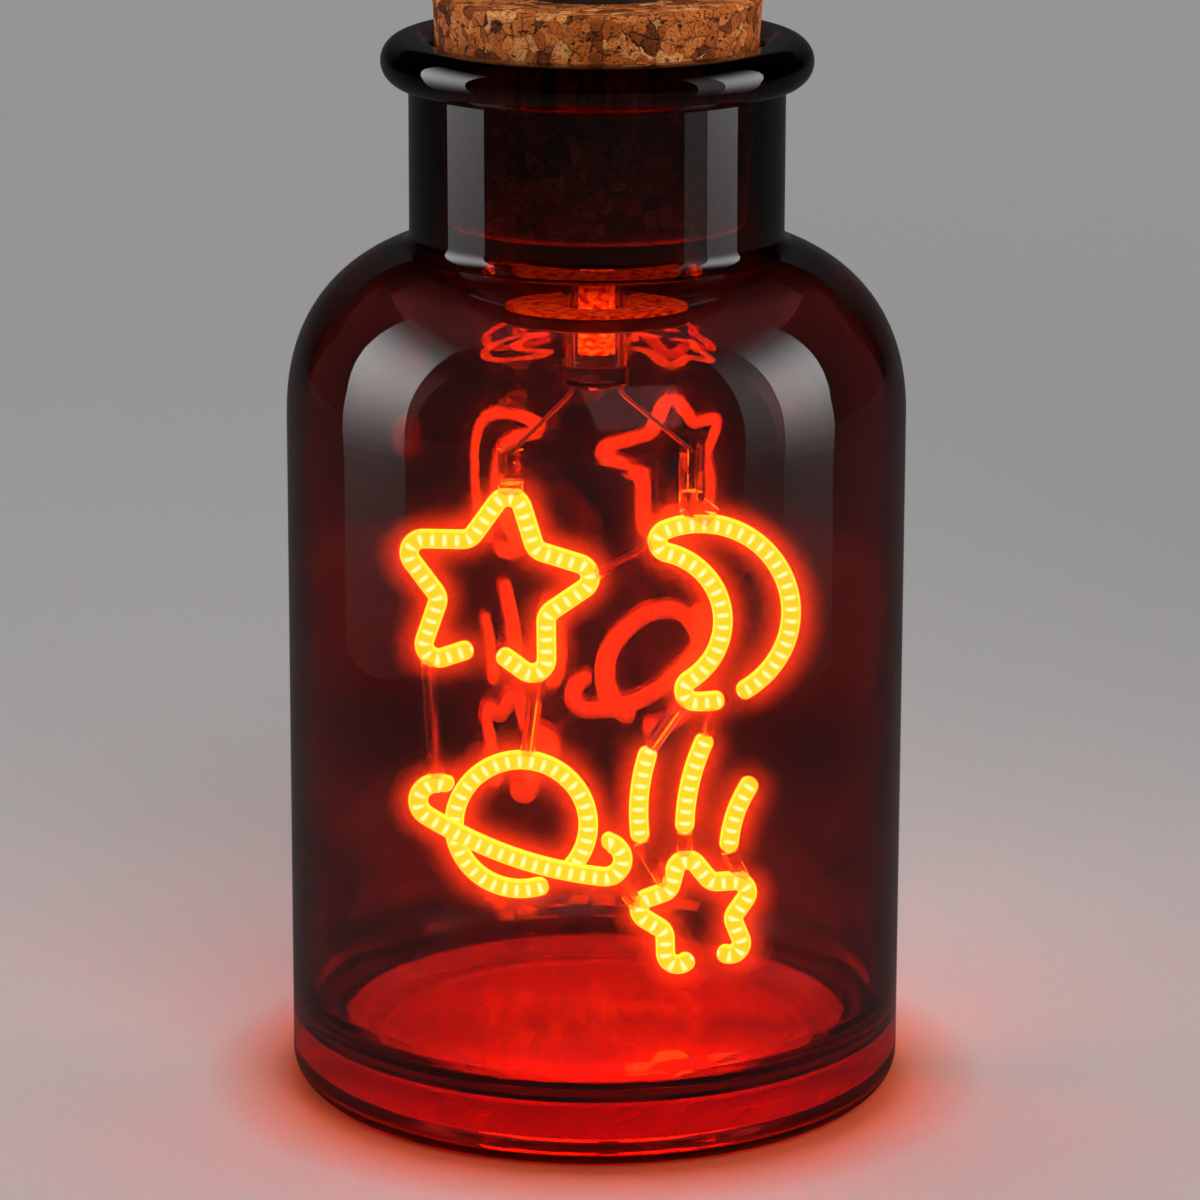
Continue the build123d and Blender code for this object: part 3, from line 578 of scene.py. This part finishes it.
def cork():
    """Pressed cork granules in browns, with dark pits and seams between the granules."""
    material, tree = new_material("cork")
    place = coordinates(tree)
    bend = noise(tree, place, 0.35, 2.0)
    warped = add_node(
        tree, "ShaderNodeVectorMath", {0: bend["Color"], 1: WARP}, operation="MULTIPLY"
    )
    moved = add_node(
        tree, "ShaderNodeVectorMath", {0: place, 1: warped.outputs[0]}, operation="ADD"
    ).outputs[0]
    granules = {"Vector": moved, "Scale": GRANULE_SCALE, "Randomness": 1.0}
    cells = add_node(tree, "ShaderNodeTexVoronoi", granules)
    edges = add_node(tree, "ShaderNodeTexVoronoi", granules, feature="DISTANCE_TO_EDGE")
    tone = add_node(tree, "ShaderNodeSeparateColor", {0: cells.outputs["Color"]})
    grain = ramp(tree, tone.outputs[0], GRANULE_TONES)
    fine = noise(tree, place, 2.6, 6.0)
    speck = ramp(tree, fine[0], [(0.30, 0.45), (0.48, 0.95), (0.7, 1.1)])
    seams = ramp(tree, edges.outputs["Distance"], [(0.0, 0.16), (0.05, 0.8), (0.15, 1.0)])
    closed = ramp(tree, bend[0], [(0.42, 1.0), (0.58, 0.0)])
    seams = mixed(tree, closed, seams, (1, 1, 1, 1))
    pits = noise(tree, moved, 0.9, 4.0)
    holes = ramp(tree, pits[0], [(0.33, 0.12), (0.40, 1.0)])
    colour = grain
    for darker in (speck, seams, holes):
        colour = mixed(tree, 1.0, colour, darker, "MULTIPLY")
    height = mixed(tree, 1.0, mixed(tree, 0.5, seams, speck), holes, "MULTIPLY")
    bump = bumped(tree, height, 1.0, 0.7 * MM)
    skin = add_node(
        tree,
        "ShaderNodeBsdfPrincipled",
        {"Base Color": colour, "Roughness": 0.78, "Specular IOR Level": 0.3, "Normal": bump},
    )
    output(tree, skin.outputs[0])
    return material


def plain(name, colour, roughness, metallic=0.0, grain=0.04):
    """A moulded or metal surface with slight unevenness in its colour, gloss and height."""
    material, tree = new_material(name)
    cloud = noise(tree, coordinates(tree), 3.0, 4.0)
    low = tuple(c * (1 - 4 * grain) for c in colour)
    high = tuple(min(1.0, c * (1 + 4 * grain)) for c in colour)
    tint = ramp(tree, cloud[0], [(0.3, low), (0.7, high)])
    gloss = maths(tree, "MULTIPLY_ADD", cloud[0], 2 * grain, roughness - grain)
    bump = bumped(tree, cloud[0], 0.2, 0.05 * MM)
    skin = add_node(
        tree,
        "ShaderNodeBsdfPrincipled",
        {"Base Color": tint, "Roughness": gloss, "Metallic": metallic, "Normal": bump},
    )
    output(tree, skin.outputs[0])
    return material


def floor_sheet():
    """Matt and faintly grained, with a painted red glow and contact shadow round the bottle's foot.
    The glass mirrors it in a darker tone.
    """
    material, tree = new_material("floor_grey")
    place = coordinates(tree)
    cloud = noise(tree, place, 0.9, 3.0)
    grain = ramp(tree, cloud[0], [(0.3, 0.96), (0.7, 1.0)])
    away = add_node(tree, "ShaderNodeVectorMath", {0: place}, operation="LENGTH").outputs[1]
    # Painted light: the sign's red glow and the contact shadow, multiplied into the floor near the
    # foot
    painted_glow_and_shadow = ramp(tree, maths(tree, "MULTIPLY", away, 10 * MM), FLOOR_PAINTED_GLOW_AND_SHADOW)
    mirrored = light_path(tree, "Is Glossy Ray")
    tone = mixed(tree, mirrored, (*FLOOR_COLOUR, 1), (*FLOOR_MIRRORED, 1))
    for share in (grain, painted_glow_and_shadow):
        tone = mixed(tree, 1.0, tone, share, "MULTIPLY")
    skin = add_node(
        tree,
        "ShaderNodeBsdfPrincipled",
        {"Base Color": tone, "Roughness": FLOOR_ROUGHNESS, "Specular IOR Level": 0.2},
    )
    output(tree, skin.outputs[0])
    return material


def lit_cloth(name, spread, level):
    """A softbox's cloth, brightest at the height of its lamp."""
    material, tree = new_material(name)
    place = add_node(tree, "ShaderNodeTexCoord").outputs["Object"]
    height = add_node(tree, "ShaderNodeSeparateXYZ", {0: place}).outputs[2]
    away = maths(tree, "DIVIDE", maths(tree, "SUBTRACT", height, CLOTH_LAMP_Z), spread)
    square = maths(tree, "POWER", away, 2.0)
    fall = maths(tree, "EXPONENT", maths(tree, "MULTIPLY", square, -0.5))
    output(tree, glowing(tree, (1, 1, 1, 1), maths(tree, "MULTIPLY", fall, level)))
    return material


# Mesh helpers


def placed(name, data):
    """A new object in the scene."""
    thing = bpy.data.objects.new(name, data)
    bpy.context.scene.collection.objects.link(thing)
    return thing


def built(name, build, material):
    """A smooth-shaded object from a bmesh builder."""
    mesh = bpy.data.meshes.new(name)
    form = bmesh.new()
    build(form)
    bmesh.ops.recalc_face_normals(form, faces=form.faces)
    for face in form.faces:
        face.smooth = True
    form.to_mesh(mesh)
    form.free()
    mesh.materials.append(material)
    return placed(name, mesh)


def mesh_piece(name, build, material, body, replaced=()):
    """A new piece that rides on a body, and stands for the CAD nodes named as replaced."""
    piece = built(name, build, material)
    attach(piece, body)
    if replaced:
        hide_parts(*replaced)
    return piece


def held(outline, margin):
    """The outline with a point near each end of its long straight runs, which keeps them flat."""
    points = [outline[0]]
    for start, end in zip(outline, outline[1:]):
        run = Vector(end) - Vector(start)
        if run.length > 6 * margin:
            step = run.normalized() * margin
            points += [tuple(Vector(start) + step), tuple(Vector(end) - step)]
        points.append(end)
    return points


def revolved(outline, sides, marks=None):
    """A builder for a closed form turned from an (x, z) outline, with values on its points."""

    def build(form):
        layers = {name: form.verts.layers.float.new(name) for name in marks or {}}
        rings = []
        for x, z in outline:
            if x < AXIS_LIMIT:
                rings.append([form.verts.new((0, 0, z))])
                continue
            ring = []
            for i in range(sides):
                angle = 2 * pi * i / sides
                vert = form.verts.new((x * cos(angle), x * sin(angle), z))
                for name, layer in layers.items():
                    vert[layer] = marks[name](x, z)
                ring.append(vert)
            rings.append(ring)
        for low, high in zip(rings, rings[1:] + rings[:1]):
            if len(low) == 1 and len(high) == 1:
                continue
            for i in range(sides):
                j = (i + 1) % sides
                corners = [low[k % len(low)] for k in (i, j)]
                corners += [high[k % len(high)] for k in (j, i)]
                form.faces.new(list(dict.fromkeys(corners)))
        places = [Vector(point) for point in outline]
        befores, afters = places[-1:] + places, places[1:] + places[:1]
        for before, place, after, ring in zip(befores, places, afters, rings):
            if len(ring) > 1 and (place - before).angle(after - place) > radians(SHARP_ANGLE):
                for i in range(sides):
                    form.edges.get((ring[i], ring[i - 1])).smooth = False

    return build


def swept(points):
    """A builder for a lit tube along points in a plane that faces Y, with rounded ends.

    Its points carry their distance along the tube, and how far to the side they lie.
    """

    def build(form):
        along = form.verts.layers.float.new("along")
        sideways = form.verts.layers.float.new("across")
        places = [Vector(point) for point in points]
        runs = [0.0]
        for a, b in zip(places, places[1:]):
            runs.append(runs[-1] + (b - a).length)
        total = runs[-1]
        ends = zip(places[:1] + places, places[1:] + places[-1:])
        directions = [(after - before).normalized() for before, after in ends]
        dome = []
        for i in range(END_STEPS + 1):
            lean = pi / 2 * i / END_STEPS
            back, narrow = END_ROUND * (1 - cos(lean)), TUBE_RADIUS - END_ROUND * (1 - sin(lean))
            dome.append((back, narrow))
        stations = [
            (places[0] + directions[0] * back, directions[0], narrow, back) for back, narrow in dome
        ]
        for place, direction, run in zip(places, directions, runs):
            if END_ROUND < run < total - END_ROUND:
                stations.append((place, direction, TUBE_RADIUS, run))
        for back, narrow in reversed(dome):
            place = places[-1] - directions[-1] * back
            stations.append((place, directions[-1], narrow, total - back))
        rings = []
        for place, direction, size, run in stations:
            across = direction.cross(Vector((0, 1, 0))).normalized()
            depth = across.cross(direction).normalized()
            ring = []
            for k in range(TUBE_SIDES):
                angle = 2 * pi * k / TUBE_SIDES
                vert = form.verts.new(place + (across * cos(angle) + depth * sin(angle)) * size)
                vert[along] = run
                vert[sideways] = abs(cos(angle))
                ring.append(vert)
            rings.append(ring)
        for low, high in zip(rings, rings[1:]):
            for k in range(TUBE_SIDES):
                m = (k + 1) % TUBE_SIDES
                form.faces.new((low[k], low[m], high[m], high[k]))
        form.faces.new(list(reversed(rings[0])))
        form.faces.new(rings[-1])

    return build


# Bottle


def shoulder(top_radius, foot_radius, height):
    """Corners up a shoulder: part of a superellipse, cut where it meets the neck."""
    reach = (foot_radius - top_radius) / SHOULDER_CUT_SHARE
    end = acos((1 - SHOULDER_CUT_SHARE) ** (SHOULDER_POWER / 2))
    rise = height / sin(end) ** (2 / SHOULDER_POWER)
    points = []
    for i in range(SHOULDER_STEPS):
        angle = end * i / SHOULDER_STEPS
        x = foot_radius - reach + reach * cos(angle) ** (2 / SHOULDER_POWER)
        points.append((x, WALL_HEIGHT + rise * sin(angle) ** (2 / SHOULDER_POWER), 0))
    return points


inner_radius = BODY_RADIUS - BODY_WALL
bore_radius = NECK_RADIUS - NECK_WALL
neck_foot_z = WALL_HEIGHT + SHOULDER_HEIGHT
lip_z = neck_foot_z + NECK_HEIGHT
lip_top_z = lip_z + LIP_SECTION
lip_centre = NECK_RADIUS + LIP_OVERHANG
lip_start = degrees(atan2(-sqrt(LIP_SECTION**2 - LIP_OVERHANG**2), -LIP_OVERHANG))
lip = arc_points((lip_centre, lip_z), LIP_SECTION, lip_start, 90 - lip_start, LIP_STEPS)
pushup_radius = BODY_RADIUS - HEEL_RADIUS - FOOT_WIDTH - PUSHUP_SLOPE
bead_radius = inner_radius - INNER_HEEL_RADIUS
dome_radius = bead_radius - 2 * BEAD_WIDTH
dome = []
for i in range(1, DOME_STEPS):
    rise = DOME_RISE * sin(pi / 2 * i / DOME_STEPS)
    dome.append((dome_radius * (1 - i / DOME_STEPS), BASE_THICKNESS + rise, 0))
bottle_corners = [
    (0, PUSHUP_HEIGHT, 0),
    (pushup_radius, PUSHUP_HEIGHT, PUSHUP_ROUND),
    (pushup_radius + PUSHUP_SLOPE, 0, PUSHUP_ROUND),
    (BODY_RADIUS, 0, HEEL_RADIUS),
    *[(BODY_RADIUS, z, 0) for z in WALL_POINTS],
    *shoulder(NECK_RADIUS, BODY_RADIUS, SHOULDER_HEIGHT),
    (NECK_RADIUS, neck_foot_z, NECK_ROUND),
    *[(x, z, 0) for x, z in lip],
    (bore_radius, lip_top_z, MOUTH_ROUND),
    (bore_radius, neck_foot_z - BODY_WALL, INNER_NECK_ROUND),
    *reversed(shoulder(bore_radius, inner_radius, SHOULDER_HEIGHT - BODY_WALL)),
    (inner_radius, BASE_THICKNESS, INNER_HEEL_RADIUS),
    (bead_radius - BEAD_WIDTH / 2, BASE_THICKNESS, BEAD_ROUND),
    (bead_radius - BEAD_WIDTH, BASE_THICKNESS + BEAD_HEIGHT, BEAD_ROUND),
    (bead_radius - BEAD_WIDTH * 3 / 2, BASE_THICKNESS, BEAD_ROUND),
    *dome,
    (0, BASE_THICKNESS + DOME_RISE, 0),
]
bottle_outline = held(rounded(bottle_corners, FINE_STEP), HOLD_MARGIN)
peak = max(range(len(bottle_outline)), key=lambda i: bottle_outline[i][1])
outer_wall = set(bottle_outline[:peak])

# How thick the coat is at these heights, with an even change from each to the next. The thick band
# at the neck's foot is painted shade.
COAT_AND_SHADE_DEPTHS = [
    (0.0, 0.8),
    (3.0 * MM, 0.75),
    (6.0 * MM, 0.45),
    (16.0 * MM, 0.28),
    (22.0 * MM, 0.56),
    (WALL_HEIGHT, 0.5),
    (neck_foot_z - 5.0 * MM, 0.40),
    (neck_foot_z - 1.5 * MM, 0.9),
    (neck_foot_z + 3.0 * MM, 0.9),
    (neck_foot_z + 5.0 * MM, 0.32),
    (lip_z - 2 * LIP_SECTION, 0.78),
    (lip_z - LIP_SECTION, 0.92),
    (lip_top_z, 1.0),
]


def coat_and_shade_depth(x, z):
    """How thick the coat is: none inside, light over the base, thick on the lip, and thick as
    painted shade at the neck's foot.
    """
    if (x, z) not in outer_wall:
        return 0.0
    for (low, first), (high, second) in zip(COAT_AND_SHADE_DEPTHS, COAT_AND_SHADE_DEPTHS[1:]):
        if z <= high:
            return first + (second - first) * (z - low) / (high - low)
    return COAT_AND_SHADE_DEPTHS[-1][1]


def ripple_share(x, z):
    """How uneven the pressed base is. This covers its inner floor and the hollow underneath."""
    if (x, z) in outer_wall:
        return 1.0 if x < pushup_radius and z < BASE_THICKNESS else 0.0
    if z >= BASE_THICKNESS + 2 * DOME_RISE:
        return 0.0
    return 1.0 - (1.0 - RIPPLE_EDGE) * min(1.0, x / inner_radius) ** 2


mesh_piece(
    "bottle_glass",
    revolved(bottle_outline, ROUND_SIDES, {"coat_and_shade": coat_and_shade_depth, "ripple": ripple_share}),
    smoke_glass(),
    "bottle",
    ["bottle"],
)

# Sign
lit = lit_tube()
for name, (route, depth) in lit_routes.items():
    mesh_piece(
        f"{name}_tube",
        swept([(x, depth, z) for x, z in route]),
        lit,
        "stopper",
        [name],
    )

# Dark boot under the collar, and a dark flange half-way down the stem whose face has a painted
# glow, as if lit by the core
stem_skin = STEM_RADIUS + STEM_GAP
flange_top_z = FLANGE_Z + FLANGE_THICKNESS / 2
stem_rings = {
    "stem_boot": [
        (stem_skin, BOOT_BOTTOM_Z, 0),
        (BOOT_RADIUS, BOOT_BOTTOM_Z, EDGE_ROUND),
        (BOOT_RADIUS, BOOT_BOTTOM_Z + 2 * EDGE_ROUND, EDGE_ROUND),
        (BOOT_TOP_RADIUS, BOOT_TOP_Z, EDGE_ROUND / 2),
        (stem_skin, BOOT_TOP_Z, 0),
    ],
    "stem_flange": [
        (stem_skin, flange_top_z - FLANGE_THICKNESS, 0),
        (FLANGE_RADIUS, flange_top_z - FLANGE_THICKNESS, EDGE_ROUND),
        (FLANGE_RADIUS, flange_top_z, EDGE_ROUND),
        (stem_skin, flange_top_z, 0),
    ],
    "stem_flange_face": [
        (stem_skin, flange_top_z, 0),
        (FACE_RADIUS, flange_top_z, 0),
        (FACE_RADIUS, flange_top_z + FACE_THICKNESS, FACE_THICKNESS / 2),
        (stem_skin, flange_top_z + FACE_THICKNESS, 0),
    ],
}
dark_rubber = plain("dark_rubber", (0.015, 0.014, 0.014), 0.45)
# The face glows with painted light, in place of the stem core's light falling on it
painted_glow_face = lamp_glow("painted_glow_face", FACE_PAINTED_GLOW)
for name, corners in stem_rings.items():
    painted_glow_ring = name.endswith("face")
    mesh_piece(
        name,
        revolved(rounded(corners, FINE_STEP), ROUND_SIDES // 2),
        painted_glow_face if painted_glow_ring else dark_rubber,
        "stopper",
    )

# Finishes of the CAD nodes that stay
finishes = {
    "cork": cork(),
    "black_plastic": plain("black_plastic", (0.012, 0.012, 0.013), 0.16),
    "button_plastic": plain("button_plastic", (0.03, 0.03, 0.033), 0.35),
    "clear_glass": clear_glass(),
    "lamp_glow": lamp_glow("lamp_glow", LAMP_STRENGTH),
    "copper_wire": plain("copper_wire", (0.42, 0.20, 0.11), 0.38, 0.6),
    "link_wire": plain("link_wire", (0.42, 0.20, 0.11), 0.38, 0.6),
    "electrode_metal": plain("electrode_metal", (0.16, 0.09, 0.06), 0.25, 0.9),
    "red_insulation": plain("red_insulation", (0.50, 0.02, 0.015), 0.4),
    "black_insulation": plain("black_insulation", (0.02, 0.02, 0.02), 0.4),
    "nickel": plain("nickel", (0.62, 0.59, 0.54), 0.25, 1.0),
    "socket_steel": plain("socket_steel", (0.60, 0.60, 0.61), 0.28, 1.0),
    "board": plain("board", (0.02, 0.17, 0.06), 0.4),
    "switch_plastic": plain("switch_plastic", (0.03, 0.03, 0.03), 0.5),
    "led_white": plain("led_white", (0.82, 0.80, 0.70), 0.4),
    "cell_wrap": plain("cell_wrap", (0.62, 0.63, 0.65), 0.35, 0.8),
    "foam": plain("foam", (0.06, 0.06, 0.06), 0.9, grain=0.1),
    "pad_rubber": plain("pad_rubber", (0.30, 0.30, 0.31), 0.6),
}
slot_of = {part["node"]: part["material_slot"] for part in frame["record"]["subparts"]}
for name, node in nodes.items():
    finish = finishes.get(slot_of[name])
    if finish:
        node.data.materials.clear()
        node.data.materials.append(finish)

# Rubber pad under the button, with a fold in its side
pad_low, pad_high = (corner[2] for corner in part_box("button_pad"))
pad_middle = (pad_low + pad_high) / 2
pad_ring = [
    (PAD_INNER_RADIUS, pad_low, 0),
    (PAD_BASE_RADIUS, pad_low, PAD_ROUND),
    (PAD_BASE_RADIUS, pad_low + PAD_FOOT, PAD_ROUND),
    (PAD_TOP_RADIUS, pad_low + PAD_FOOT, PAD_ROUND),
    (PAD_TOP_RADIUS + PAD_FOLD, pad_middle, PAD_ROUND),
    (PAD_TOP_RADIUS, pad_high, PAD_ROUND / 2),
    (PAD_INNER_RADIUS, pad_high, 0),
]
pad = mesh_piece(
    "button_pad_rubber",
    revolved(rounded(pad_ring, FINE_STEP), ROUND_SIDES // 4),
    finishes["pad_rubber"],
    "stopper",
    ["button_pad"],
)
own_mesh(pad)

# Floor and backdrop: one sheet that is as wide as the view and bends up behind


def floor_form(form):
    line = [(FLOOR_NEAR, 0.0), (FLOOR_FAR, 0.0)]
    for degree in range(10, 91, 10):
        lean = radians(degree)
        line.append((FLOOR_FAR + FLOOR_BEND * sin(lean), FLOOR_BEND * (1 - cos(lean))))
    line.append((FLOOR_FAR + FLOOR_BEND, FLOOR_RISE))
    sides = (-FLOOR_HALF_WIDTH, FLOOR_HALF_WIDTH)
    rows = [[form.verts.new((x, y, z)) for x in sides] for y, z in line]
    for low, high in zip(rows, rows[1:]):
        form.faces.new((low[0], low[1], high[1], high[0]))


built("floor", floor_form, floor_sheet())


# Lamps


def softbox(name, place, target, width, height, radiance):
    """A rectangular lamp of even brightness that faces a target and isn't mirrored."""
    lamp = bpy.data.lights.new(name, "AREA")
    lamp.shape = "RECTANGLE"
    lamp.size = width
    lamp.size_y = height
    lamp.energy = radiance * pi * width * height
    thing = placed(name, lamp)
    thing.location = place
    thing.rotation_euler = (Vector(target) - Vector(place)).to_track_quat("-Z", "Y").to_euler()
    thing.visible_camera = False
    thing.visible_glossy = False


def panel(name, azimuth, width, height, cloth, flare=0.0):
    """An upright softbox that faces the bottle's axis and widens upwards to the back."""
    mesh = bpy.data.meshes.new(name)
    half = width / 2
    back = 1 if azimuth > 0 else -1
    corners = [
        (-half * back, 0, 0),
        (half * back, 0, 0),
        (half * back, 0, FLARE_START),
        ((half + flare) * back, 0, height),
        (-half * back, 0, height),
    ]
    mesh.from_pydata(corners, [], [tuple(range(len(corners)))])
    mesh.materials.append(cloth)
    thing = placed(name, mesh)
    angle = radians(azimuth)
    thing.location = (PANEL_DISTANCE * sin(angle), -PANEL_DISTANCE * cos(angle), PANEL_LIFT)
    thing.rotation_euler = (0, 0, angle)
    thing.visible_camera = False


bright_cloth = lit_cloth("softbox_cloth", 0.092, 4.7)
dim_cloth = lit_cloth("side_cloth", 0.12, 0.8)
panel("box_left", -84, 0.182, 0.50, bright_cloth, flare=0.09)
panel("box_right", 79, 0.145, 0.54, bright_cloth, flare=0.09)
panel("box_right_edge", 59, 0.09, 0.54, dim_cloth)
softbox("box_top", (0.0, 1.6, 2.2), (0, 1.6, 0.0), 3.4, 3.0, 1.75)
softbox("box_front", (0.5, -1.6, 1.3), (0, 0, 0.1), 1.2, 1.2, 5.6)

# A dark studio round the set: only straight sight lines see a pale backdrop past the floor
world = bpy.data.worlds.new("studio")
world.use_nodes = True
sky = world.node_tree
sky.nodes.clear()
seen = light_path(sky, "Is Camera Ray")
sight = maths(sky, "MAXIMUM", seen, light_path(sky, "Is Transmission Ray"))
level = maths(sky, "MULTIPLY_ADD", sight, BACKDROP_LEVEL - STUDIO_LEVEL, STUDIO_LEVEL)
backdrop = add_node(sky, "ShaderNodeBackground", {"Color": (1, 1, 1, 1), "Strength": level})
skyline = sky.nodes.new("ShaderNodeOutputWorld")
sky.links.new(backdrop.outputs[0], skyline.inputs["Surface"])
bpy.context.scene.world = world

# Camera
camera_data = bpy.data.cameras.new("camera")
camera_data.sensor_width = SENSOR
camera_data.lens = LENS_SHARE * SENSOR
camera_data.shift_x = CAMERA_SHIFT
camera = placed("camera", camera_data)
camera.location = (0, -CAMERA_DISTANCE, CAMERA_HEIGHT)
camera.rotation_euler = (
    Matrix.Rotation(pi / 2 - CAMERA_PITCH, 3, "X") @ Matrix.Rotation(CAMERA_ROLL, 3, "Z")
).to_euler()
bpy.context.scene.camera = camera

bpy.context.scene.view_settings.view_transform = "Standard"
